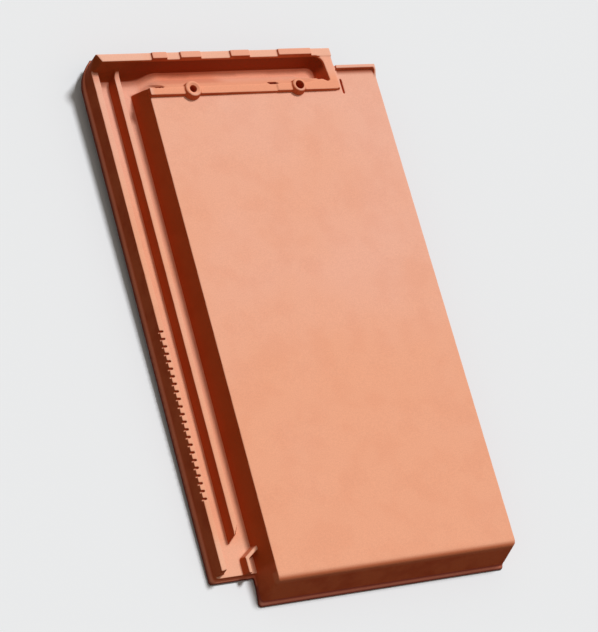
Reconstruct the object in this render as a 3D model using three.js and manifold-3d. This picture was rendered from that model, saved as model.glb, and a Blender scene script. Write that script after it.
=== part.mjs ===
// Flat interlocking clay roof tile, pressed and fired as one piece. Millimetres, +Z up.
// The tile is drawn level: x = 0 is the left edge of its face, y = 0 the front edge of the face
// above the nose, and z = 0 the foot of its rims. At the end it is laid down as it rests on a
// floor, on its two hanging lugs and the foot of its nose.
import * as THREE from 'three';
import { mergeVertices } from 'three/addons/utils/BufferGeometryUtils.js';
import { ConvexGeometry } from 'three/addons/geometries/ConvexGeometry.js';
import Module from 'manifold-3d';

const wasm = await Module();
wasm.setup();

// ---- Driving dimensions ----------------------------------------------------------------------

// Face and body
const faceWidth = 235;
const faceLength = 441.5;
const tileHeight = 31;
const clayThickness = 12;
const sideWallDraft = 0.25;
const edgeRadius = 2.5;              // small rounding of upright corners

// Nose, the skirt along the front edge
const noseDraft = 0.373;
const noseThickness = 11;
const noseEdgeRadius = 6.2;
const noseEdgeFacets = 5;
const noseCornerRadius = 2;

// Pressing lip round the foot of the tile
const lipThickness = 2.6;
const lipReach = 3.5;
const lipReachSide = 2.3;
const lipReachLockEnd = 2.4;
const lipReachCorner = 1.4;
const lipEdgeHeight = 1.6;
const lipReachTop = 2.2;

// Left side lock, from the wall of the face outwards
const lockDepth = 24;
const lockRibDepth = 12.5;
const drainWidth = 9.7;
const innerRibWidth = 4.9;
const grooveWidth = 10.4;
const outerRibWidth = 5;
const ribFlank = 2.3;
const lockEndY = 13;
const lockEndDraft = 0.1;
const innerRibEndY = 45;
const innerRibEndRun = 5;
const innerRibTaper = 9;
const outerRibSetback = 2.4;
const outerRibEndSkew = 1.5;
const outerRibEndRun = 1;
const lockEndShoulder = 5;           // bed of the lock in front of its end

// Bent baffle at the low end of the side lock
const baffleDepth = 16;
const baffleWidth = 2.6;
const baffleFlank = 1.3;
const baffleFlankOuter = 3;
const baffleWallY = 34;
const baffleBendX = -15;
const baffleBendY = 25.5;

// Row of storm clip notches in the outer rib
const notchCount = 23;
const notchFirstY = 79;
const notchPitch = 6.8;
const notchWidth = 1.8;
const notchReach = 3.6;
const notchDepth = 3;

// Head lock: outer wall, crest with ventilation pads, channel, and the ledge behind the face
const headLength = 49.8;
const headDraft = 0.23;
const headWallThickness = 7.2;
const headWallInnerDraft = 0.24;
const headWallFaceRun = 0.7;
const crestRise = 1.6;
const crestEndSetback = 0.8;
const crestEndSlope = 0.45;
const crestEndSkew = 0.54;
const padRise = 2.4;
const padSetback = 0.3;
const pads = [
  { x: 10.5, width: 14.5 },
  { x: 38.3, width: 20.5 },
  { x: 88.5, width: 19.5 },
  { x: 137.3, width: 34.5 },
];
const channelDepth = 16;
const channelFloorWidth = 2.45;      // between the slope and the round foot of the head wall
const channelSlopeRunRight = 3;
const channelSteepSetback = 35;      // from the right flank of the head
const lockEndFloorWidth = 3.59;      // of the same floor where the ramp has come down to the drain
const channelLeftX = 18;
const channelHeadRadius = 8;
const channelLedgeRadius = 2.5;
const channelEndDraft = 0.28;
const channelFootRadius = 6;
const channelEndFootRadius = 4;
const lockFootReach = 16;
const lockFootRise = 22;
const ribFootRadius = 10;
const footInset = 0.3;               // of the clay at the head wall from the flanks of the ribs
const footRadiusLap = 0.2;           // how far that round runs past the wall it meets
const cornerFacets = 5;
const footFacets = 5;
const rampSteps = 6;
const endWallWidth = 9.5;
const endWallHeadRise = 0.6;
const endWallSetback = 0.4;
const endWallTopSetback = 1.3;
const ledgeWidth = 8;
const ledgeRiseLeft = 4;
const ledgeRiseMiddle = 2.8;
const ledgeRiseRight = 3.8;
const ledgeRiseEnd = 3.2;
const ledgeStepX = 127;
const ledgeOverhang = 0.8;
const ledgeFaceDraft = 0.13;
const ledgeEndSetback = 4;
const ledgeSlots = [
  { x: 2.5, width: 11.5 },
  { x: 119.5, width: 10 },
];
const ledgeSlotWidth = 2.8;
const ledgeSlotDepth = 8;
const ledgeSlotInset = 0.3;          // of a slot into the back edge of the ledge

// Head corner on the side of the lock, cut off at a slant
const cornerCutY = 12.5;
const cornerCutTurn = 40.6;
const cornerCutRadius = 42;

// Cover, the right-hand strip that lies over the next tile's side lock
const coverWidth = 42;
const coverReach = 24.5;             // how far it runs past the face towards the head
const coverThickness = 11;
const coverLap = 9;
const coverRibWidth = 5;
const coverRibDepth = 22;
const coverEdgeWidth = 5.5;
const coverRibFlank = 1.1;
const coverCrestWidth = 4.2;
const coverCrestRise = 3.4;
const coverCrestRun = 0.7;
const coverCrestReturn = 8;
const coverInset = 2;                // of the body's right flank from the end of the head lock
const coverInsetRun = 1.5;
const cutMarkX = 195;
const cutMarkSetback = 3.5;
const cutMarkLength = 15;
const cutMarkWidth = 1.8;
const cutMarkDepth = 3;

// Bosses on the ledge: a nail hole that goes through, and a larger one left blind
const bossRise = 6.4;
const bossFlare = 1;
const bossEdge = 1.2;
const nailBoss = { x: 40.9, behindFace: 4.4, radius: 7.8 };
const nailHoleRadius = 3.3;
const nailDishRadius = 5.6;
const nailDishDepth = 0.9;
const nailDishRun = 1.2;
const clipBoss = { x: 148.4, behindFace: 4.3, radius: 6.8 };
const clipHoleRadius = 4.1;
const clipHoleDepth = 11;
const bossSides = 28;
const holeSides = 20;

// Underside: hollow, foot rib, stiffening ribs, hanging lugs
const hollowDraft = 0.2;
const hollowLeftX = 7;
const innerWallThickness = 10;
const hollowHeadSetback = 5.5;       // in front of the head end of the face
const headHollowLeftX = 26;
const headFloorThickness = 8;
const headHollowLap = 5;
const headWallFoot = 1;
const footRibY = 30;
const footRibWidth = 7;
const footRibDepth = 28;
const ribXs = [62, 120];
const ribWidth = 7;
const ribDepth = 20;
const ribRun = 1;
const crossRibY = 235;
const lugXs = [50, 150];
const lugSetback = 38.3;             // from the head end of the tile
const lugWidth = 30;
const lugThickness = 13;
const lugDrop = 10;
const lugDraft = 0.12;

const clayColor = 0xd9825c;

// ---- Derived places --------------------------------------------------------------------------

const top = tileHeight;
const lockFloorZ = top - lockDepth;
const lockRibZ = top - lockRibDepth;
const clear = 20;                                   // how far cutters run past the clay
const bite = 0.6;                                   // how far added clay reaches into the body
const lap = 1;                                      // how far pieces that meet run into each other
const far = faceLength + headLength + clear;        // beyond the head

const wallX = (z) => -sideWallDraft * (top - z);
const noseY = (z) => -noseDraft * (top - z);
const drainLeft = wallX(lockFloorZ) - drainWidth;
const innerRibRight = drainLeft - ribFlank;
const innerRibLeft = innerRibRight - innerRibWidth;
const grooveRight = innerRibLeft - ribFlank;
const grooveLeft = grooveRight - grooveWidth;
const outerRibRight = grooveLeft - ribFlank;
const outerRibLeft = outerRibRight - outerRibWidth;
const lockFootX = outerRibLeft - ribFlank;
const lockDraft = (outerRibLeft - lockFootX) / (lockRibZ - lipThickness);
const lockX = (z) => lockFootX + lockDraft * (z - lipThickness);
const lockFrontY = (z) => lockEndY + lockEndDraft * (z - lipThickness);

const headFootY = faceLength + headLength;
const headY = (z) => headFootY - headDraft * (z - lipThickness);
const headRight = faceWidth - coverWidth;
const coverLength = faceLength + coverReach;
const crestZ = top + crestRise;
const headInnerY = (z) => headY(crestZ) - headWallThickness - headWallInnerDraft * (crestZ - z);
const lockRoomY = lockEndY - lockEndShoulder;
const ledgeZ = top + ledgeRiseMiddle;
const ledgeBackY = faceLength + ledgeWidth;
const channelZ = top - channelDepth;
const channelSteepX = headRight - channelSteepSetback;
const channelSlopeY = footRound(channelZ, channelFootRadius)[0][1] - channelFloorWidth;
const lockSlopeY = footRound(lockFloorZ, lockFootReach, lockFootRise)[0][1] - lockEndFloorWidth;
const lockBedEndY = lockSlopeY + lap;                           // head end of the straight lock
const channelFrontY = (z, run = channelSlopeY - ledgeBackY) =>
  ledgeBackY + run * (ledgeZ - z) / (ledgeZ - channelZ);
const channelRightX = (z) => headRight - endWallWidth - channelEndDraft * (ledgeZ - z);

const undersideZ = top - clayThickness;
const coverUndersideZ = top - coverThickness;
const headUndersideZ = channelZ - headFloorThickness;
const tilePitch = faceWidth + coverLap;             // from one tile's face to the next one's
const bodyRight = headRight - coverInset;
const hollowRight = bodyRight - innerWallThickness;
const hollowHeadY = faceLength - hollowHeadSetback;
const lugY = headFootY - lugSetback;
const lugFootZ = -lugDrop;

// ---- Geometry helpers ------------------------------------------------------------------------

function solid(geometry) {
  const bare = geometry.index ? geometry.toNonIndexed() : geometry.clone();
  bare.deleteAttribute('normal');
  bare.deleteAttribute('uv');
  const merged = mergeVertices(bare, 1e-4);
  return new wasm.Manifold(new wasm.Mesh({
    numProp: 3,
    vertProperties: new Float32Array(merged.attributes.position.array),
    triVerts: new Uint32Array(merged.index.array),
  }));
}

function extrude(points, depth, matrix) {
  const shape = new THREE.Shape(points.map(([u, v]) => new THREE.Vector2(u, v)));
  const geometry = new THREE.ExtrudeGeometry(shape, { depth, bevelEnabled: false, curveSegments: 1 });
  return solid(geometry.applyMatrix4(matrix));
}

// Prism with its outline in the YZ plane, from x0 to x1
function prismX(points, x0, x1) {
  const axes = new THREE.Matrix4().makeBasis(
    new THREE.Vector3(0, 1, 0), new THREE.Vector3(0, 0, 1), new THREE.Vector3(1, 0, 0));
  return extrude(points, x1 - x0, axes.setPosition(x0, 0, 0));
}

// Prism with its outline in the XZ plane, from y0 to y1
function prismY(points, y0, y1) {
  const axes = new THREE.Matrix4().makeBasis(
    new THREE.Vector3(1, 0, 0), new THREE.Vector3(0, 0, 1), new THREE.Vector3(0, -1, 0));
  return extrude(points, y1 - y0, axes.setPosition(0, y1, 0));
}

// Prism with its outline in the XY plane, from z0 to z1
function prismZ(points, z0, z1) {
  return extrude(points, z1 - z0, new THREE.Matrix4().setPosition(0, 0, z0));
}

function box(x0, x1, y0, y1, z0, z1) {
  return prismZ([[x0, y0], [x1, y0], [x1, y1], [x0, y1]], z0, z1);
}

// Outline with rounded corners: every corner is [x, y, radius]
function rounded(corners, segments = 4) {
  return corners.flatMap(([x, y, radius = 0], i) => {
    if (!radius) return [[x, y]];
    const here = new THREE.Vector2(x, y);
    const back = new THREE.Vector2(...corners.at(i - 1).slice(0, 2)).sub(here).normalize();
    const ahead = new THREE.Vector2(...corners[(i + 1) % corners.length].slice(0, 2)).sub(here).normalize();
    const half = Math.acos(THREE.MathUtils.clamp(back.dot(ahead), -1, 1)) / 2;
    const reach = radius / Math.tan(half);
    const start = here.clone().addScaledVector(back, reach);
    const end = here.clone().addScaledVector(ahead, reach);
    const bisector = back.clone().add(ahead).normalize();
    const centre = here.clone().addScaledVector(bisector, radius / Math.sin(half));
    const a0 = Math.atan2(start.y - centre.y, start.x - centre.x);
    let sweep = Math.atan2(end.y - centre.y, end.x - centre.x) - a0;
    if (sweep > Math.PI) sweep -= 2 * Math.PI;
    if (sweep < -Math.PI) sweep += 2 * Math.PI;
    return Array.from({ length: segments + 1 }, (_, k) => {
      const a = a0 + (sweep * k) / segments;
      return [centre.x + radius * Math.cos(a), centre.y + radius * Math.sin(a)];
    });
  });
}

// Drafted block through outlines with as many points each, from the lowest up: [outline, z] ...
function loft(...levels) {
  const n = levels[0][0].length;
  const last = (levels.length - 1) * n;
  const vertices = levels.flatMap(([ring, z]) => ring.flatMap(([x, y]) => [x, y, z]));
  const index = [];
  for (let low = 0; low < last; low += n) {
    for (let i = 0; i < n; i++) {
      const a = low + i;
      const b = low + ((i + 1) % n);
      index.push(a, b, n + b, a, n + b, n + a);
    }
  }
  const cap = ([ring]) =>
    THREE.ShapeUtils.triangulateShape(ring.map(([x, y]) => new THREE.Vector2(x, y)), []);
  for (const [a, b, c] of cap(levels[0])) {
    index.push(a, c, b);
  }
  for (const [a, b, c] of cap(levels.at(-1))) {
    index.push(last + a, last + b, last + c);
  }
  const geometry = new THREE.BufferGeometry();
  geometry.setAttribute('position', new THREE.Float32BufferAttribute(vertices, 3));
  geometry.setIndex(index);
  return solid(geometry);
}

function hull(points) {
  return solid(new ConvexGeometry(points.map(([x, y, z]) => new THREE.Vector3(x, y, z))));
}

const join = (solids) => solids.reduce((a, b) => a.add(b));

// ---- The blank: drafted outer walls, lip and rounded nose -------------------------------------

// The corner cut off at the head leaves the left edge in a long curve and then runs straight
const cornerTurn = THREE.MathUtils.degToRad(cornerCutTurn);

function cornerYAt(x, grow = 0) {
  const y = headFootY - cornerCutY + (x - lockFootX) / Math.tan(cornerTurn);
  return y + grow / Math.sin(cornerTurn);
}

function cornerXAt(y, grow = 0) {
  return lockFootX + (y - headFootY + cornerCutY) * Math.tan(cornerTurn) - grow / Math.cos(cornerTurn);
}

function outline({ left, front, wall, wallFront = wall, nose, right = faceWidth, head, grow = 0 }) {
  const straight = (head - cornerYAt(left, grow)) / Math.cos(cornerTurn);
  const cornerRadius = Math.min(cornerCutRadius, (straight - lap) / Math.tan(cornerTurn / 2));
  return rounded([
    [left, front, edgeRadius],
    [wall, front],
    [wallFront, nose, edgeRadius],
    [right, nose, noseCornerRadius],
    [right, coverLength],
    [headRight, coverLength],
    [headRight, head],
    [cornerXAt(head, grow), head],
    [left, cornerYAt(left, grow), cornerRadius],
  ]);
}

function makeBlank() {
  const ring = (z) => outline({
    left: lockX(z), front: lockFrontY(z), wall: wallX(z), nose: noseY(z), head: headY(z) });
  const walls = loft([ring(0), 0], [ring(crestZ), crestZ]);
  const foot = lipThickness;
  const lipRing = (part) => outline({
    left: lockX(foot) - lipReach * part,
    front: lockFrontY(foot) - lipReachLockEnd * part,
    wall: wallX(foot) + bite,
    wallFront: wallX(foot) - lipReachSide * part,
    nose: noseY(foot) - lipReach * part,
    right: faceWidth - lap,
    head: headY(foot) + lipReach * part,
    grow: lipReachCorner * part,
  });
  const lip = loft([lipRing(1), 0], [lipRing(1), lipEdgeHeight], [lipRing(lipReachTop / lipReach), foot]);
  return walls.add(lip);
}

// What the rounding takes off the edge between the face and the nose
function noseEdge() {
  const faceTurn = Math.PI / 2 - Math.atan(noseDraft);
  const reach = noseEdgeRadius * Math.tan(faceTurn / 2);
  const arc = Array.from({ length: noseEdgeFacets + 1 }, (_, k) => {
    const a = (faceTurn * k) / noseEdgeFacets;
    return [reach - noseEdgeRadius * Math.sin(a), top - noseEdgeRadius * (1 - Math.cos(a))];
  });
  const [endY, endZ] = arc[noseEdgeFacets];
  return prismX([...arc, [endY - clear, endZ], [endY - clear, top + clear], [reach, top + clear]],
    -clear, faceWidth + clear);
}

// ---- The side lock ----------------------------------------------------------------------------

// Room above the outer rib, the groove and the drain, up to the wall of the face. Only the outer
// rib runs on straight to the head wall; the groove and the drain end in the ramp of the channel.
function lockRoom() {
  const high = top + clear;
  const along = prismY([
    [lockFootX - clear, lockRibZ], [outerRibRight, lockRibZ], [grooveLeft, lockFloorZ],
    [wallX(lockFloorZ), lockFloorZ], [wallX(top), top], [-ledgeOverhang, top],
    [-ledgeOverhang, high], [lockFootX - clear, high],
  ], lockRoomY, lockBedEndY);
  const overRib = box(lockFootX - clear, outerRibRight + lap, lockBedEndY - lap, far, lockRibZ, high);
  return along.add(overRib);
}

// The outer rib stops at the low end with an end face that turns towards the groove
function outerRibEndCut() {
  const side = lockFootX - clear;
  const right = grooveLeft + lap;
  const ring = (run) => {
    const end = lockEndY + outerRibSetback + run;
    return [[side, lockRoomY], [right, lockRoomY], [right, end + outerRibEndSkew],
      [outerRibLeft, end], [side, end]];
  };
  const high = lockRibZ + clear;
  return loft([ring(0), lockFloorZ], [ring(outerRibEndRun), lockRibZ], [ring(outerRibEndRun), high]);
}

// The inner rib stops short of it and tapers to a blade on the side of its outer edge
function innerRib() {
  const ring = (z) => {
    const slope = (lockRibZ - z) / (lockRibZ - lockFloorZ);
    const left = innerRibLeft - ribFlank * slope;
    const right = innerRibRight + ribFlank * slope;
    const end = innerRibEndY - innerRibEndRun * slope;
    const back = headInnerY(lockRibZ) + headWallThickness / 2;
    return [[left, end], [right, end + innerRibTaper], [right, back], [left, back]];
  };
  const low = lockFloorZ - bite;
  return loft([ring(low), low], [ring(lockRibZ), lockRibZ]).add(innerRibFoot());
}

// Clay in the corner between the top of that rib and the head wall
function innerRibFoot() {
  const low = lockRibZ - bite;
  const round = footRound(lockRibZ, ribFootRadius).map(([, y, z]) => [y, z]);
  const [endY, endZ] = round.at(-1);
  return prismX([[round[0][0], low], ...round, [endY + lap, endZ], [endY + lap, low]],
    innerRibLeft + footInset, innerRibRight - footInset);
}

function baffle() {
  const z1 = top - baffleDepth;
  const z0 = lockFloorZ - bite;
  const half = baffleWidth / 2;
  const line = [[wallX(z1) + lap, baffleWallY], [baffleBendX, baffleBendY], [baffleBendX, lockEndY + lap]];
  const leg = ([ax, ay], [bx, by]) => {
    const along = new THREE.Vector2(bx - ax, by - ay).normalize();
    const side = new THREE.Vector2(-along.y, along.x);
    const corners = (inner, outer, z) => [[ax, ay, -half], [bx, by, half]].flatMap(([x, y, past]) =>
      [inner, -outer].map((w) => [x + side.x * w + along.x * past, y + side.y * w + along.y * past, z]));
    return hull([...corners(half + baffleFlank, half + baffleFlankOuter, z0), ...corners(half, half, z1)]);
  };
  return leg(line[0], line[1]).add(leg(line[1], line[2]));
}

function notches() {
  return join(Array.from({ length: notchCount }, (_, i) => {
    const y = notchFirstY + i * notchPitch;
    const x = outerRibLeft + notchReach;
    return box(lockFootX - clear, x, y - notchWidth / 2, y + notchWidth / 2,
      lockRibZ - notchDepth, lockRibZ + clear);
  }));
}

// ---- The head lock ----------------------------------------------------------------------------

// Everything in front of the inner face of the head wall
function beforeHeadWall() {
  const high = top + 2 * clear;
  return prismX([[-clear, -clear], [headInnerY(-clear), -clear], [headInnerY(high), high], [-clear, high]],
    lockFootX - 2 * clear, faceWidth + clear);
}

// Outline of the channel at one height. It runs on past the head wall, except at its right end,
// where a rounded corner leads from the wall into the end. The insets are those of the round foot.
function channelRing(z, headInset = -footRadiusLap, endInset = 0) {
  const front = channelFrontY(z);
  const steepFront = channelFrontY(z, channelSlopeRunRight);
  const back = headInnerY(z) - headInset;
  const right = channelRightX(z) - endInset;
  const ledgeTurn = Math.atan2(right - channelSteepX, front - steepFront);
  const ledgeReach = channelLedgeRadius / Math.tan(ledgeTurn / 2);
  const radius = Math.min(channelHeadRadius, back - steepFront - ledgeReach - lap);
  const corner = Array.from({ length: cornerFacets + 1 }, (_, k) => {
    const a = (Math.PI / 2) * (k / cornerFacets);
    return [right - radius * (1 - Math.cos(a)), back - radius * (1 - Math.sin(a))];
  });
  const ledgeCorner = rounded([[channelLeftX, front], [channelSteepX, front],
    [right, steepFront, channelLedgeRadius], corner[0]], 3);
  return [...ledgeCorner, ...corner.slice(1), [channelLeftX, back]];
}

// The round foot between a floor and the head wall, as [sine of the turn, y, z] from the floor up
function footRound(floorZ, radius, rise = radius) {
  const lean = Math.atan(headWallInnerDraft);
  const middleZ = floorZ + rise;
  const middleY = headInnerY(middleZ) - (radius - footRadiusLap) / Math.cos(lean);
  return Array.from({ length: footFacets + 1 }, (_, k) => {
    const a = (Math.PI / 2 - lean) * (k / footFacets);
    return [Math.sin(a), middleY + radius * Math.sin(a), middleZ - rise * Math.cos(a)];
  });
}

// The channel, the ramp that curves from its floor down to the drain of the side lock, and the head
// ends of the drain and the groove, which rise to the head wall in a wide round foot
function channelRoom() {
  const high = top + clear / 2;
  const levels = footRound(channelZ, channelFootRadius).map(([turn, y, z]) =>
    [channelRing(z, headInnerY(z) - y, channelEndFootRadius * (1 - turn)), z]);
  const main = loft(...levels, [channelRing(high), high]);
  const footX = wallX(lockFloorZ) + 2 * lap;
  const section = (x) => {
    const ease = THREE.MathUtils.smoothstep(channelLeftX - x, 0, channelLeftX - footX);
    const floorZ = THREE.MathUtils.lerp(channelZ, lockFloorZ, ease);
    const slopeY = THREE.MathUtils.lerp(channelSlopeY, lockSlopeY, ease);
    const reach = THREE.MathUtils.lerp(channelFootRadius, lockFootReach, ease);
    const rise = THREE.MathUtils.lerp(channelFootRadius, lockFootRise, ease);
    const frontY = (z) => ledgeBackY + (slopeY - ledgeBackY) * (ledgeZ - z) / (ledgeZ - floorZ);
    const round = footRound(floorZ, reach, rise).map(([, y, z]) => [x, y, z]);
    return [[x, frontY(high), high], [x, frontY(floorZ), floorZ], ...round,
      [x, headInnerY(high) + footRadiusLap, high]];
  };
  const sections = Array.from({ length: rampSteps + 1 },
    (_, k) => section(channelLeftX + ((footX - channelLeftX) * k) / rampSteps));
  const grooveEndX = (z) => grooveLeft + footInset - ribFlank * (z - lockFloorZ) / (lockRibZ - lockFloorZ);
  sections.push(section(footX).map(([, y, z]) => [grooveEndX(z), y, z]));
  const spans = sections.slice(1).map((next, k) => hull([...sections[k], ...next]));
  return join([main, ...spans]);
}

// The blank stands as high as the crest; the face lies lower
function faceCut() {
  const back = headInnerY(crestZ) - headWallFaceRun;
  const high = crestZ + clear;
  return prismX([[-clear, top], [back, top], [back, high], [-clear, high]],
    lockFootX - clear, faceWidth + clear);
}

// The head wall ends at the corner in a plane that falls from its crest to the outer rib
function crestEndCut() {
  const footY = headInnerY(lockRibZ);
  const footX = outerRibLeft + crestEndSetback;
  const edgeX = (y, z) => footX - crestEndSkew * (y - footY) + crestEndSlope * (z - lockRibZ);
  const side = lockFootX - clear;
  const front = footY - lap;
  const ring = (z) => [[side, front], [edgeX(front, z), front], [edgeX(far, z), far], [side, far]];
  const high = crestZ + padRise + lap;
  return loft([ring(lockRibZ), lockRibZ], [ring(high), high]);
}

function crestPads() {
  const low = crestZ - bite;
  const high = crestZ + padRise;
  const front = headInnerY(low) - 2 * lap;
  const back = headY(crestZ) - padSetback;
  return join(pads.map(({ x, width }) => box(x, x + width, front, back, low, high)));
}

// The ledge changes height along the tile and steps up once; an end wall closes the channel
function ledge() {
  const low = top - bite;
  const strip = (x0, rise0, x1, rise1) => {
    const section = (x, z) => [[x, faceLength, low], [x, faceLength + ledgeFaceDraft * (z - low), z],
      [x, channelFrontY(low), low], [x, channelFrontY(low), z]];
    return hull([...section(x0, top + rise0), ...section(x1, top + rise1)]);
  };
  const wallLeft = channelRightX(top) - 2 * lap;
  const wallFront = faceLength + lap;
  const wallBack = headInnerY(crestZ) + 2 * lap;
  const foot = (y) => [[wallLeft, y, low], [headRight - endWallSetback, y, low]];
  const edge = (y, rise) => [[wallLeft, y, top + rise], [headRight - endWallTopSetback, y, top + rise]];
  const endWall = hull([
    ...foot(wallFront), ...foot(wallBack),
    ...edge(wallFront, ledgeRiseEnd), ...edge(ledgeBackY, ledgeRiseEnd),
    ...edge(wallBack, endWallHeadRise),
  ]);
  return join([
    strip(-ledgeOverhang, ledgeRiseLeft, ledgeStepX, ledgeRiseMiddle),
    strip(ledgeStepX, ledgeRiseRight, headRight - ledgeEndSetback, ledgeRiseEnd),
    endWall,
  ]);
}

// Short slots along the back edge of the ledge
function ledgeSlotCut({ x, width }) {
  return box(x, x + width, ledgeBackY - ledgeSlotInset, ledgeBackY + ledgeSlotWidth,
    ledgeZ - ledgeSlotDepth, top + clear);
}

const bossTop = top + bossRise;

// Circle about the middle of a boss
function circle({ x, behindFace }, radius, sides = bossSides) {
  return Array.from({ length: sides }, (_, k) => {
    const a = (2 * Math.PI * k) / sides;
    return [x + radius * Math.cos(a), faceLength + behindFace + radius * Math.sin(a)];
  });
}

function boss(place) {
  const { radius } = place;
  return loft([circle(place, radius + bossFlare), top - bite], [circle(place, radius), bossTop - bossEdge],
    [circle(place, radius - bossEdge), bossTop]);
}

function nailHole() {
  const ring = circle(nailBoss, nailHoleRadius, holeSides);
  const bore = loft([ring, -clear], [ring, bossTop + clear]);
  const slope = nailDishRun / nailDishDepth;
  const dish = loft([circle(nailBoss, nailDishRadius - nailDishRun), bossTop - nailDishDepth],
    [circle(nailBoss, nailDishRadius + slope * lap), bossTop + lap]);
  return bore.add(dish);
}

function clipHole() {
  const ring = circle(clipBoss, clipHoleRadius, holeSides);
  return loft([ring, bossTop - clipHoleDepth], [ring, bossTop + clear]);
}

// ---- The cover --------------------------------------------------------------------------------

function coverCrest() {
  const low = top - bite;
  const high = top + coverCrestRise;
  const back = coverLength - coverCrestWidth;
  const crestFront = back + coverCrestRun;
  const bar = prismX([[back, low], [coverLength, low], [coverLength, high], [crestFront, high]],
    headRight, faceWidth);
  const side = faceWidth - coverCrestWidth / 2;
  const wedge = prismX([[back - coverCrestReturn, low], [crestFront, low], [crestFront, high],
    [back - lap, high], [back - coverCrestReturn, top]], side, faceWidth);
  return bar.add(wedge);
}

function cutMark() {
  const y = faceLength - cutMarkSetback;
  return box(cutMarkX, cutMarkX + cutMarkWidth, y, y + cutMarkLength, top - cutMarkDepth, top + clear);
}

// The space under the cover for the next tile's ribs, with the rib that drops into its groove
function coverHollow() {
  const grooveMiddle = tilePitch + (grooveLeft + grooveRight) / 2;
  const ribFoot = top - coverRibDepth;
  const half = coverRibWidth / 2;
  const edge = faceWidth - coverEdgeWidth;
  const section = [
    [bodyRight - coverInsetRun, -clear], [bodyRight, coverUndersideZ],
    [grooveMiddle - half - coverRibFlank, coverUndersideZ], [grooveMiddle - half, ribFoot],
    [grooveMiddle + half, ribFoot], [grooveMiddle + half + coverRibFlank, coverUndersideZ],
    [edge - coverRibFlank, coverUndersideZ], [edge, ribFoot],
    [faceWidth + clear, ribFoot], [faceWidth + clear, -clear],
  ];
  return prismY(section, -clear, coverLength + clear / 2).intersect(behindNose());
}

// ---- The underside ----------------------------------------------------------------------------

// All the room behind the nose, bounded by its sloping back
function behindNose() {
  const backY = (z) => noseY(z) + noseThickness;
  return prismX([[backY(-clear), -clear], [2 * headFootY, -clear], [2 * headFootY, top],
    [backY(top), top]], -clear, faceWidth + 2 * clear);
}

// Room under the face, drafted on every side, up to height z1
function hollow(x0, x1, y0, y1, z1) {
  const spread = hollowDraft * (z1 + clear);
  const ring = (grow) => [[x0 - grow, y0 - grow], [x1 + grow, y0 - grow],
    [x1 + grow, y1 + grow], [x0 - grow, y1 + grow]];
  return loft([ring(spread), -clear], [ring(0), z1]);
}

function undersideCut() {
  const main = hollow(hollowLeftX, hollowRight, -clear, hollowHeadY, undersideZ).intersect(behindNose());
  const head = hollow(headHollowLeftX, hollowRight, hollowHeadY - headHollowLap,
    headInnerY(headUndersideZ) - headWallFoot, headUndersideZ);
  return main.add(head);
}

function undersideRibs() {
  const footZ = top - footRibDepth;
  const root = undersideZ + bite;
  const flank = hollowDraft * (undersideZ - footZ) / 2;
  const wallSpread = hollowDraft * (undersideZ - footZ) + lap / 2;
  const foot = prismX([[footRibY + flank, footZ], [footRibY + footRibWidth - flank, footZ],
    [footRibY + footRibWidth, root], [footRibY, root]], hollowLeftX - wallSpread, hollowRight + wallSpread);
  const z = top - ribDepth;
  const half = ribWidth / 2;
  const lengthwise = ribXs.map((x) => prismY(
    [[x - half, root], [x - half + ribRun, z], [x + half - ribRun, z], [x + half, root]],
    footRibY + lap, hollowHeadY + lap));
  const cross = prismX([[crossRibY, root], [crossRibY + ribRun, z], [crossRibY + ribWidth - ribRun, z],
    [crossRibY + ribWidth, root]], hollowLeftX - lap, hollowRight + lap);
  return join([foot, cross, ...lengthwise]);
}

// A hanging lug: upright towards the batten in front of it, drafted on its other sides
function lug(x) {
  const root = headUndersideZ + bite;
  const spread = lugDraft * (root - lugFootZ);
  const half = lugWidth / 2;
  const ring = (inset) => {
    const back = lugY + lugThickness - 2 * inset;
    return rounded([[x - half + inset, lugY], [x + half - inset, lugY],
      [x + half - inset, back, edgeRadius], [x - half + inset, back, edgeRadius]]);
  };
  return loft([ring(spread), lugFootZ], [ring(0), root]);
}

// ---- The tile ---------------------------------------------------------------------------------

function makeTile() {
  const upperRoom = join([lockRoom(), channelRoom()]).intersect(beforeHeadWall());
  const pressed = makeBlank()
    .subtract(noseEdge())
    .subtract(faceCut())
    .add(ledge())
    .add(crestPads())
    .subtract(upperRoom)
    .subtract(outerRibEndCut())
    .subtract(crestEndCut())
    .subtract(notches())
    .add(innerRib())
    .add(baffle())
    .add(coverCrest())
    .add(boss(nailBoss))
    .add(boss(clipBoss))
    .subtract(cutMark())
    .subtract(join(ledgeSlots.map(ledgeSlotCut)))
    .subtract(coverHollow())
    .subtract(undersideCut())
    .add(undersideRibs());
  return lugXs.map(lug).reduce((body, piece) => body.add(piece), pressed)
    .subtract(nailHole())
    .subtract(clipHole());
}

const { vertProperties, triVerts } = makeTile().getMesh();
const geometry = new THREE.BufferGeometry();
geometry.setAttribute('position', new THREE.Float32BufferAttribute(vertProperties, 3));
geometry.setIndex(new THREE.Uint32BufferAttribute(triVerts, 1));
geometry.computeVertexNormals();

const firedClay = new THREE.MeshStandardMaterial({ color: clayColor, roughness: 0.85, metalness: 0 });
const tile = new THREE.Mesh(geometry, firedClay);
tile.name = 'roof_tile';

// At rest the head stands on the lugs and the front on the lip of the nose
const noseTipY = noseY(lipThickness) - lipReach;
const restPitch = Math.asin(lugDrop / Math.hypot(lugDrop, lugY - noseTipY));

const laid = new THREE.Group();
laid.rotation.x = restPitch;
laid.add(tile);
laid.updateMatrixWorld(true);
const bounds = new THREE.Box3().setFromObject(tile, true);
const centre = bounds.getCenter(new THREE.Vector3());
laid.position.set(-centre.x, -centre.y, -bounds.min.z);

const part = new THREE.Group();
part.add(laid);
export default part;
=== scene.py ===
"""Looks of the clay roof tile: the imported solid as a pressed, fired body with soft edges and a mottled
terracotta surface, on a pale studio floor, seen from the photograph's viewing angle. Metres, in the
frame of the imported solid."""
import math

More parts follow.
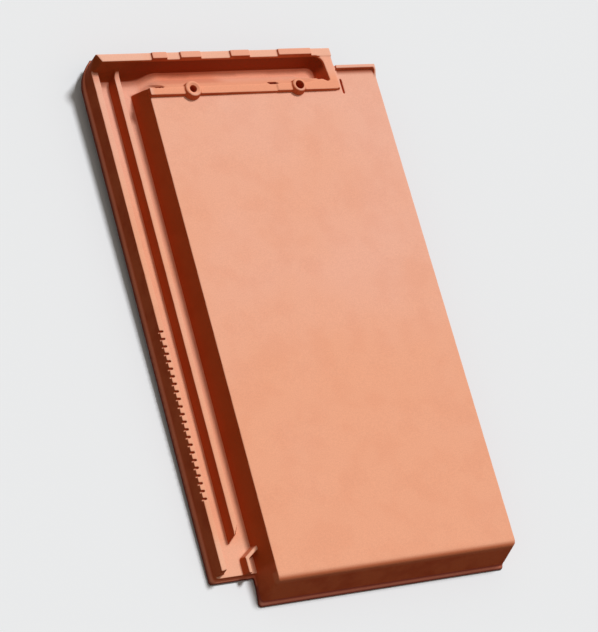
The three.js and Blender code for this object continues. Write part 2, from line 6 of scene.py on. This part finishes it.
import bmesh
import bpy
from mathutils import Matrix, Vector


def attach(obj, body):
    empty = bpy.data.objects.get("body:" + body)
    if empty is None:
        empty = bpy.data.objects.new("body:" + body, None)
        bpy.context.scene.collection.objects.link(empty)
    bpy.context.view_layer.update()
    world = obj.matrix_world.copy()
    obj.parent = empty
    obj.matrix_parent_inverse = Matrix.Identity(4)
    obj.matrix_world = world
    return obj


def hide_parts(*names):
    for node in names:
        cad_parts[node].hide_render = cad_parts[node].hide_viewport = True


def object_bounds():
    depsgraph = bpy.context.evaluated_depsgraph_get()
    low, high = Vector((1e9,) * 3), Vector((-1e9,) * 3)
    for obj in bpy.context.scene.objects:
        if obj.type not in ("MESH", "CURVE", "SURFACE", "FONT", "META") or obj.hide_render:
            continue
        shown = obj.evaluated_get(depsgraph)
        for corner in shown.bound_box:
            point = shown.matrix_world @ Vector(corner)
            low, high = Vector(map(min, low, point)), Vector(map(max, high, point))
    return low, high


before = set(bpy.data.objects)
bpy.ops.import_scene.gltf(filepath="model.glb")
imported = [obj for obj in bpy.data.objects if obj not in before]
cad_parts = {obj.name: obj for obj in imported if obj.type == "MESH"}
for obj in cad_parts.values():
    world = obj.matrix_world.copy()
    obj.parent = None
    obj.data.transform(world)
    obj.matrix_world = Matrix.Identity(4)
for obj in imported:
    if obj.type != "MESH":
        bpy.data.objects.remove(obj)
first_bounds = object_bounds()

# ---- The tile's body -------------------------------------------------------------------------------

VOXEL = 0.00062          # grid on which the solid is drawn again, so that its edges can soften
SMOOTH_FACTOR = 0.5
SMOOTH_STEPS = 4
BLEND_STEPS = {"lip": 30, "ramp": 120}
WELD_DISTANCE = 1e-7
KEEP_TRIANGLES = 180_000

# The tile lies tilted by a degree on its lugs; its own height is measured square to its face, and its
# own length along the face from the nose
REST_PITCH = 0.021406
FOOT_HEIGHT = 0.005445
NOSE_EDGE = -0.24022

# The outer lip: the height of its edge and of the cove above it, and where it runs
LIP_EDGE = 0.0020
LIP_EDGE_RUN = 0.0008
COVE_TOP = 0.0075
COVE_RUN = 0.003
LIP_LEFT = -0.1335
LIP_FRONT = 0.001
LIP_BACK = 0.487
LOCK_LIP_RIGHT = -0.098
LOCK_LIP_FRONT = 0.0155

RAMP = ((-0.0990, -0.0700), (0.4543, 0.4720), (0.0060, 0.0330))   # across, along and up
RAMP_EDGE = 0.002

# Loose limits round the lip and the ramp, outside which no point needs to be looked at
LIP_ZONE_TOP = 0.0185
RAMP_ZONE_FRONT = 0.2
RAMP_ZONE_RIGHT = -0.06


def rise(value, low, high):
    t = min(max((value - low) / (high - low), 0.0), 1.0)
    return t * t * (3.0 - 2.0 * t)


def blend_weights(across, y, z):
    """How far a point is softened more than the rest, at the root of the outer lip and on the ramp at
    the left end of the head channel."""
    along = y * math.cos(REST_PITCH) + z * math.sin(REST_PITCH) - NOSE_EDGE
    up = z * math.cos(REST_PITCH) - y * math.sin(REST_PITCH) - FOOT_HEIGHT
    outside = (across < LIP_LEFT or along < LIP_FRONT or along > LIP_BACK
               or (across < LOCK_LIP_RIGHT and along < LOCK_LIP_FRONT))
    lip = rise(up, LIP_EDGE, LIP_EDGE + LIP_EDGE_RUN) * (1.0 - rise(up, COVE_TOP - COVE_RUN, COVE_TOP))
    ramp = 1.0
    for value, (low, high) in zip((across, along, up), RAMP):
        ramp *= rise(value, low - RAMP_EDGE, low + RAMP_EDGE)
        ramp *= 1.0 - rise(value, high - RAMP_EDGE, high + RAMP_EDGE)
    return {"lip": lip if outside else 0.0, "ramp": ramp}


def soft_body(node, name):
    """A copy of a CAD node with the small radii that a pressed clay body has on every edge."""
    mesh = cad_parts[node].data.copy()
    welded = bmesh.new()
    welded.from_mesh(mesh)
    bmesh.ops.remove_doubles(welded, verts=welded.verts, dist=WELD_DISTANCE)
    welded.to_mesh(mesh)
    welded.free()
    ob = bpy.data.objects.new(name, mesh)
    bpy.context.scene.collection.objects.link(ob)
    remesh = ob.modifiers.new("redraw", "REMESH")
    remesh.mode = "VOXEL"
    remesh.voxel_size = VOXEL * 1
    smooth = ob.modifiers.new("soften", "SMOOTH")
    smooth.factor = SMOOTH_FACTOR
    smooth.iterations = SMOOTH_STEPS
    apply_modifiers(ob)
    groups = {place: ob.vertex_groups.new(name=place) for place in BLEND_STEPS}
    for vertex in ob.data.vertices:
        x, y, z = vertex.co
        if z < LIP_ZONE_TOP or (y > RAMP_ZONE_FRONT and x < RAMP_ZONE_RIGHT):
            for place, weight in blend_weights(x, y, z).items():
                if weight > 0.01:
                    groups[place].add([vertex.index], weight, "REPLACE")
    for place, steps in BLEND_STEPS.items():
        blend = ob.modifiers.new(place, "SMOOTH")
        blend.factor = SMOOTH_FACTOR
        blend.iterations = steps
        blend.vertex_group = place
    apply_modifiers(ob)
    ob.vertex_groups.clear()
    faces = sum(len(p.vertices) - 2 for p in ob.data.polygons)
    thin = ob.modifiers.new("thin", "DECIMATE")
    thin.ratio = min(1.0, KEEP_TRIANGLES / faces)
    apply_modifiers(ob)
    low, high = first_bounds
    for vertex in ob.data.vertices:
        vertex.co = [min(max(v, a), b) for v, a, b in zip(vertex.co, low, high)]
    for p in ob.data.polygons:
        p.use_smooth = True
    return ob


def apply_modifiers(ob):
    graph = bpy.context.evaluated_depsgraph_get()
    ob.data = bpy.data.meshes.new_from_object(ob.evaluated_get(graph))
    ob.modifiers.clear()


tile = soft_body("roof_tile", "tile_clay")

# ---- Fired clay ------------------------------------------------------------------------------------


class Nodes:
    """Short names for the node calls that the materials below use."""

    def __init__(self, name):
        self.material = bpy.data.materials.new(name)
        self.material.use_nodes = True
        self.tree = self.material.node_tree
        self.tree.nodes.clear()

    def add(self, kind, **values):
        node = self.tree.nodes.new(kind)
        for key, value in values.items():
            setattr(node, key, value)
        return node

    def link(self, out, into):
        self.tree.links.new(out, into)

    def noise(self, where, scale, detail=3.0, rough=0.55):
        node = self.add("ShaderNodeTexNoise")
        node.inputs["Scale"].default_value = scale
        node.inputs["Detail"].default_value = detail
        node.inputs["Roughness"].default_value = rough
        self.link(where, node.inputs["Vector"])
        return node.outputs["Fac"]

    def span(self, value, low, high, to_low=0.0, to_high=1.0):
        node = self.add("ShaderNodeMapRange", interpolation_type="SMOOTHSTEP")
        for key, number in (("From Min", low), ("From Max", high), ("To Min", to_low), ("To Max", to_high)):
            node.inputs[key].default_value = number
        self.link(value, node.inputs["Value"])
        return node.outputs["Result"]

    def math(self, what, a, b):
        node = self.add("ShaderNodeMath", operation=what)
        for socket, value in zip(node.inputs, (a, b)):
            if isinstance(value, (int, float)):
                socket.default_value = value
            else:
                self.link(value, socket)
        return node.outputs["Value"]

    def along(self, where, direction):
        node = self.add("ShaderNodeVectorMath", operation="DOT_PRODUCT")
        self.link(where, node.inputs[0])
        node.inputs[1].default_value = direction
        return node.outputs["Value"]

    def mix(self, amount, a, b, blend="MIX"):
        node = self.add("ShaderNodeMix", data_type="RGBA", blend_type=blend)
        for socket, value in ((node.inputs[0], amount), (node.inputs[6], a), (node.inputs[7], b)):
            if isinstance(value, (int, float)):
                socket.default_value = value
            elif isinstance(value, tuple):
                socket.default_value = (*value, 1.0)
            else:
                self.link(value, socket)
        return node.outputs[2]


def linear(red, green, blue):
    """The shader's colour for a colour written as it shows on screen, 0 to 255."""
    def one(v):
        v /= 255
        return v / 12.92 if v <= 0.04045 else ((v + 0.055) / 1.055) ** 2.4
    return one(red), one(green), one(blue)


FACE_PEACH = linear(241, 180, 156)
FACE_WARM = linear(240, 170, 136)
LEDGE_WARM = linear(240, 161, 127)
CREST_PALE = linear(246, 192, 166)
BODY_RED = linear(204, 98, 54)
BODY_DEEP = linear(190, 82, 40)
# painted shade: a dark red standing in for shadow under the head wall, in and below the slots and under the
# bar
PAINTED_SHADE_RED = linear(146, 56, 16)
# partly the lock's own red, partly painted shade
LOCK_RED_AND_SHADE = linear(178, 78, 24)
# painted shade on the rounding between face and nose
NOSE_ROUNDING_SHADE = linear(212, 118, 78)
# painted light and shade: the side lip lighter, the nose lip darker, the foot dark as shade
LIP_SIDE_PAINTED_LIGHT = linear(227, 121, 87)
LIP_NOSE_PAINTED_SHADE = linear(164, 76, 59)
LIP_FOOT_PAINTED_SHADE = linear(124, 58, 44)
# wear and painted highlight on convex edges, also the pale of the lock's bed
WORN_AND_HIGHLIGHT = linear(246, 196, 170)

TOWARDS_NOSE = (-0.5, -0.85, 0.0)     # the way in which the face turns from pink to peach
BLOOM_AND_SHADE_FACING = (0.1, 0.3, 0.95)            # what faced this way took the bloom; leaned towards the lamp, so its red is partly painted shade

# Heights above the foot of the tile
LIP_TOP = 0.0035
LIP_FOOT_TOP = 0.0028
FACE_TOP = 0.031
PAD_TOP = 0.0345

# Places along the tile, from the nose
LIP_TURN = (0.002, 0.006)             # the lip of the nose gives way to that of the sides
NOSE_BACK = (0.006, 0.008)
LOCK_START = (0.012, 0.018)
BED_END = 0.050
FACE_END = 0.4415
SLOT_ALONG = (0.4489, 0.4533)
SLOT_SHADOW_FRONT = (0.4505, 0.4515)
BAR_FOOT = 0.4615
CHANNEL_FOOT = 0.463
RAMP_BACK = 0.4655
CREST_FRONT = 0.4765

# Places across it
OUTER_EDGE = -0.1360
FACE_LEFT = -0.0931
RAMP_RIGHT = -0.070
HEAD_RIGHT = 0.0985
BAR_RIGHT = 0.1395
SLOTS_ACROSS = ((-0.0905, -0.0795), (0.0265, 0.0360))
SLOT_SHADOW_ACROSS = (-0.0838, -0.0765)     # painted shadow at the end of the left slot
SLOT_SHADOW_SLANT = (0.3765, 0.3785)        # its slanted edge, as along plus across
SLOT_END = -0.0765
CHANNEL_LEFT = (-0.078, -0.015)       # the left part of the channel's floor, painted duller as shadow
RECESS_START = (-0.128, -0.082)


def window(n, value, low, high, soft):
    """One between two limits, nought outside them."""
    return n.math("MULTIPLY", n.span(value, low - soft, low + soft),
                  n.span(value, high - soft, high + soft, 1.0, 0.0))


def fired_clay():
    n = Nodes("fired_clay")
    where = n.add("ShaderNodeTexCoord").outputs["Object"]
    geometry = n.add("ShaderNodeNewGeometry")
    split = n.add("ShaderNodeSeparateXYZ")
    n.link(geometry.outputs["Normal"], split.inputs["Vector"])

    # A pale bloom lies on what faced up in the kiln; steep walls, the lip and the underside keep the red of
    # the body. The mask leans towards the lamp, so the red on what turns from it is partly painted shade.
    # The face goes from pink at the head to a warmer peach near the nose.
    clouds = n.math("ADD", n.along(where, TOWARDS_NOSE),
                    n.math("MULTIPLY", n.noise(where, 7.0, 3.0, 0.5), 0.5))
    patches = n.span(n.noise(where, 40.0, 3.0), 0.40, 0.66)
    face = n.mix(n.span(clouds, 0.02, 0.40), FACE_PEACH, FACE_WARM)
    face = n.mix(n.math("MULTIPLY", patches, 0.07), face, BODY_RED)
    body = n.mix(patches, BODY_RED, BODY_DEEP)
    across = n.along(where, (1.0, 0.0, 0.0))
    height = n.math("SUBTRACT", n.along(where, (0.0, -math.sin(REST_PITCH), math.cos(REST_PITCH))),
                    FOOT_HEIGHT)
    below_face = n.span(height, FACE_TOP - 0.001, FACE_TOP, 1.0, 0.0)
    length = n.math("SUBTRACT", n.along(where, (0.0, math.cos(REST_PITCH), math.sin(REST_PITCH))),
                    NOSE_EDGE)

    # The head: a warmer ledge and channel, a paler crest between the pads, and painted shade where shadow
    # falls:
    # a deep red under the head wall and on the left of the channel's floor, dark in the slots of the ledge,
    # below the left slot and along the foot of the bar beside it
    in_head = window(n, across, FACE_LEFT + 0.002, HEAD_RIGHT, 0.002)
    on_ledge = n.math("MULTIPLY", n.span(length, FACE_END - 0.002, FACE_END + 0.002),
                      n.span(length, CHANNEL_FOOT - 0.012, CHANNEL_FOOT, 1.0, 0.45))
    face = n.mix(n.math("MULTIPLY", on_ledge, in_head), face, LEDGE_WARM)
    on_crest = n.math("MULTIPLY", n.span(length, CREST_FRONT - 0.001, CREST_FRONT + 0.001),
                      n.span(height, PAD_TOP - 0.001, PAD_TOP, 0.55, 0.0))
    face = n.mix(on_crest, face, CREST_PALE)
    # painted shade under the head wall, on the face colour here and on the body colour further down
    head_wall_shade = n.math("MULTIPLY", n.span(length, CHANNEL_FOOT - 0.002, CHANNEL_FOOT + 0.006), below_face)
    face = n.mix(n.math("MULTIPLY", head_wall_shade, 0.35), face, BODY_RED)
    # painted shadow drawn out over the left part of the channel's floor
    left_floor_shade = n.math("MULTIPLY", window(n, across, *CHANNEL_LEFT, 0.010),
                        n.span(length, SLOT_ALONG[1], SLOT_ALONG[1] + 0.006, 0.0, 0.42))
    face = n.mix(n.math("MULTIPLY", left_floor_shade, below_face), face, BODY_RED)
    # painted shade in and just behind the slots of the ledge
    for ends in SLOTS_ACROSS:
        slot = n.math("MULTIPLY", window(n, across, *ends, 0.0010), window(n, length, *SLOT_ALONG, 0.0006))
        face = n.mix(n.math("MULTIPLY", slot, 0.85), face, PAINTED_SHADE_RED)
    # painted shadow on the slope at the end of the left slot
    slot_shadow = n.math("MULTIPLY", window(n, across, *SLOT_SHADOW_ACROSS, 0.0006),
                   n.span(n.math("ADD", length, across), *SLOT_SHADOW_SLANT, 0.7, 0.0))
    face = n.mix(n.math("MULTIPLY", slot_shadow, n.span(length, *SLOT_SHADOW_FRONT)), face, PAINTED_SHADE_RED)
    # painted shadow along the foot of the bar, fading towards the nose
    bar_shadow = n.math("MULTIPLY", n.span(length, BAR_FOOT - 0.0055, BAR_FOOT, 0.0, 0.95),
                      n.span(length, BAR_FOOT + 0.0007, BAR_FOOT + 0.0017, 1.0, 0.0))
    bar_shadow = n.math("MULTIPLY", bar_shadow, window(n, across, HEAD_RIGHT + 0.0025, BAR_RIGHT, 0.001))
    face = n.mix(bar_shadow, face, PAINTED_SHADE_RED)

    # The walls of the side lock are a deeper red than the outer sides, partly the clay's own colour and
    # partly painted shade where the lock lies in shadow, and its bed near the nose pale
    in_lock = n.math("MULTIPLY", n.span(length, *LOCK_START),
                     window(n, across, OUTER_EDGE, FACE_LEFT, 0.0005))
    body = n.mix(n.math("MULTIPLY", in_lock, 0.75), body, LOCK_RED_AND_SHADE)
    # painted shade from under the head wall, reaching out into the side lock
    body = n.mix(n.math("MULTIPLY", head_wall_shade, n.span(across, *RECESS_START, 0.4, 1.0)), body, PAINTED_SHADE_RED)
    on_bed = n.math("MULTIPLY", n.span(length, BED_END - 0.015, BED_END, 0.4, 0.0),
                    n.span(across, FACE_LEFT - 0.001, FACE_LEFT, 1.0, 0.0))
    face = n.mix(on_bed, face, WORN_AND_HIGHLIGHT)

    # The lip is dull and carries painted shade and light: dark at its foot as shade under its edge, darker
    # along the nose and lighter along the sides for how the lamp falls there; and the rounding between face
    # and nose is painted a stronger orange as shade where it turns from the lamp
    lip = n.mix(n.span(length, *LIP_TURN), LIP_NOSE_PAINTED_SHADE, LIP_SIDE_PAINTED_LIGHT)
    body = n.mix(n.span(height, LIP_TOP, LIP_TOP + 0.0015, 1.0, 0.0), body, lip)
    body = n.mix(n.span(height, LIP_FOOT_TOP - 0.0008, LIP_FOOT_TOP, 1.0, 0.0), body, LIP_FOOT_PAINTED_SHADE)
    above_lip = n.math("MULTIPLY", n.span(height, LIP_TOP, LIP_TOP + 0.003, 0.3, 1.0),
                       n.span(height, LIP_FOOT_TOP - 0.0008, LIP_FOOT_TOP, 0.2, 1.0))
    facing = n.along(geometry.outputs["Normal"], BLOOM_AND_SHADE_FACING)
    # painted shade: a stronger orange where the nose's rounding turns from the lamp
    at_nose = n.math("MULTIPLY", n.span(length, *NOSE_BACK, 1.0, 0.0),
                     n.span(height, FACE_TOP - 0.008, FACE_TOP - 0.005))
    body = n.mix(n.math("MULTIPLY", at_nose, n.span(facing, -0.12, 0.18)), body, NOSE_ROUNDING_SHADE)

    # The bloom covers what faces up, less of the rounding of the nose, which keeps the red of painted
    # shade, and all of the ramp at the left end of the channel
    open_sky = n.math("MULTIPLY", n.span(facing, 0.44, 0.60), n.span(split.outputs["Z"], 0.28, 0.38))
    nose_limit = n.math("MAXIMUM", n.span(length, *NOSE_BACK), n.span(facing, 0.45, 0.92))
    on_ramp = n.math("MULTIPLY", window(n, across, FACE_LEFT + 0.0005, RAMP_RIGHT, 0.0004),
                     window(n, length, SLOT_ALONG[1], RAMP_BACK, 0.0006))
    open_sky = n.math("MAXIMUM", n.math("MINIMUM", open_sky, nose_limit), on_ramp)
    bloom_and_shade = n.math("MULTIPLY", open_sky, above_lip)
    colour = n.mix(bloom_and_shade, body, face)

    # Convex edges are painted pale, partly as wear and partly as a painted highlight, except round the left
    # slot and its painted shadow
    by_slot = n.math("MULTIPLY", window(n, across, FACE_LEFT - 0.0020, SLOT_END, 0.0005),
                     window(n, length, SLOT_ALONG[0], RAMP_BACK, 0.0006))
    worn_and_highlight = n.math("MULTIPLY", n.span(geometry.outputs["Pointiness"], 0.53, 0.62),
                  n.math("MULTIPLY", bloom_and_shade, n.math("SUBTRACT", 1.0, by_slot)))
    rubbed_and_highlight = n.math("MULTIPLY", worn_and_highlight, n.span(n.noise(where, 120.0, 3.0), 0.35, 0.65, 0.35, 0.9))
    colour = n.mix(rubbed_and_highlight, colour, WORN_AND_HIGHLIGHT)

    grain = n.noise(where, 900.0, 2.0, 0.6)
    colour = n.mix(1.0, colour, n.span(grain, 0.30, 0.70, 0.95, 1.04), "MULTIPLY")

    shader = n.add("ShaderNodeBsdfPrincipled")
    n.link(colour, shader.inputs["Base Color"])
    n.link(n.span(grain, 0.3, 0.7, 0.78, 0.92), shader.inputs["Roughness"])
    shader.inputs["Specular IOR Level"].default_value = 0.25

    coarse = n.noise(where, 260.0, 4.0, 0.6)
    relief = n.math("ADD", n.math("MULTIPLY", coarse, 0.6), n.math("MULTIPLY", grain, 0.4))
    bump = n.add("ShaderNodeBump")
    bump.inputs["Strength"].default_value = 0.35
    bump.inputs["Distance"].default_value = 0.0006
    n.link(relief, bump.inputs["Height"])
    n.link(bump.outputs["Normal"], shader.inputs["Normal"])
    out = n.add("ShaderNodeOutputMaterial")
    n.link(shader.outputs["BSDF"], out.inputs["Surface"])
    return n.material


tile.data.materials.clear()
tile.data.materials.append(fired_clay())
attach(tile, "root")
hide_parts("roof_tile")

# ---- Floor, light and camera -----------------------------------------------------------------------

FLOOR_SEEN = (0.84, 0.87, 0.90)
FLOOR_BOUNCE = (0.10, 0.09, 0.085)
FLOOR_SIZE = 30.0


def studio_floor():
    n = Nodes("studio_floor")
    path = n.add("ShaderNodeLightPath")
    seen = n.math("MAXIMUM", path.outputs["Is Camera Ray"],
                  n.math("MAXIMUM", path.outputs["Is Glossy Ray"], path.outputs["Is Transmission Ray"]))
    pale = n.add("ShaderNodeBsdfDiffuse")
    pale.inputs["Color"].default_value = (*FLOOR_SEEN, 1.0)
    dull = n.add("ShaderNodeBsdfDiffuse")
    dull.inputs["Color"].default_value = (*FLOOR_BOUNCE, 1.0)
    both = n.add("ShaderNodeMixShader")
    n.link(seen, both.inputs[0])
    n.link(dull.outputs["BSDF"], both.inputs[1])
    n.link(pale.outputs["BSDF"], both.inputs[2])
    out = n.add("ShaderNodeOutputMaterial")
    n.link(both.outputs["Shader"], out.inputs["Surface"])

    mesh = bpy.data.meshes.new("floor")
    half = FLOOR_SIZE / 2
    mesh.from_pydata([(-half, -half, 0), (half, -half, 0), (half, half, 0), (-half, half, 0)],
                     [], [(0, 1, 2, 3)])
    mesh.materials.append(n.material)
    floor = bpy.data.objects.new("floor", mesh)
    bpy.context.scene.collection.objects.link(floor)


studio_floor()

TO_LIGHT = Vector((0.39, 0.43, 1.0))     # from the tile to the lamp
SUN_STRENGTH = 2.60
SUN_ANGLE = 0.20
WORLD_STRENGTH = 0.26
WORLD_COLOUR = (1.0, 0.90, 0.80)

sun = bpy.data.lights.new("key", "SUN")
sun.energy = SUN_STRENGTH
sun.angle = SUN_ANGLE
key = bpy.data.objects.new("key", sun)
key.rotation_mode = "QUATERNION"
key.rotation_quaternion = TO_LIGHT.to_track_quat("Z", "Y")
bpy.context.scene.collection.objects.link(key)

world = bpy.data.worlds.new("studio")
world.use_nodes = True
background = world.node_tree.nodes["Background"]
background.inputs["Color"].default_value = (*WORLD_COLOUR, 1.0)
background.inputs["Strength"].default_value = WORLD_STRENGTH
bpy.context.scene.world = world

CAMERA_PLACE = Vector((-1.04207, -0.68889, 1.72861))
CAMERA_RIGHT = Vector((0.866064, -0.265981, 0.423305))
CAMERA_UP = Vector((0.078585, 0.908627, 0.410148))
LENS = 138.495
SENSOR_WIDTH = 36.0

lens = bpy.data.cameras.new("camera")
lens.lens = LENS
lens.sensor_width = SENSOR_WIDTH
camera = bpy.data.objects.new("camera", lens)
back = CAMERA_RIGHT.cross(CAMERA_UP)
camera.matrix_world = Matrix.Translation(CAMERA_PLACE) @ Matrix(
    (CAMERA_RIGHT, CAMERA_UP, back)).transposed().to_4x4()
bpy.context.scene.collection.objects.link(camera)
bpy.context.scene.camera = camera

bpy.context.scene.view_settings.view_transform = "Standard"
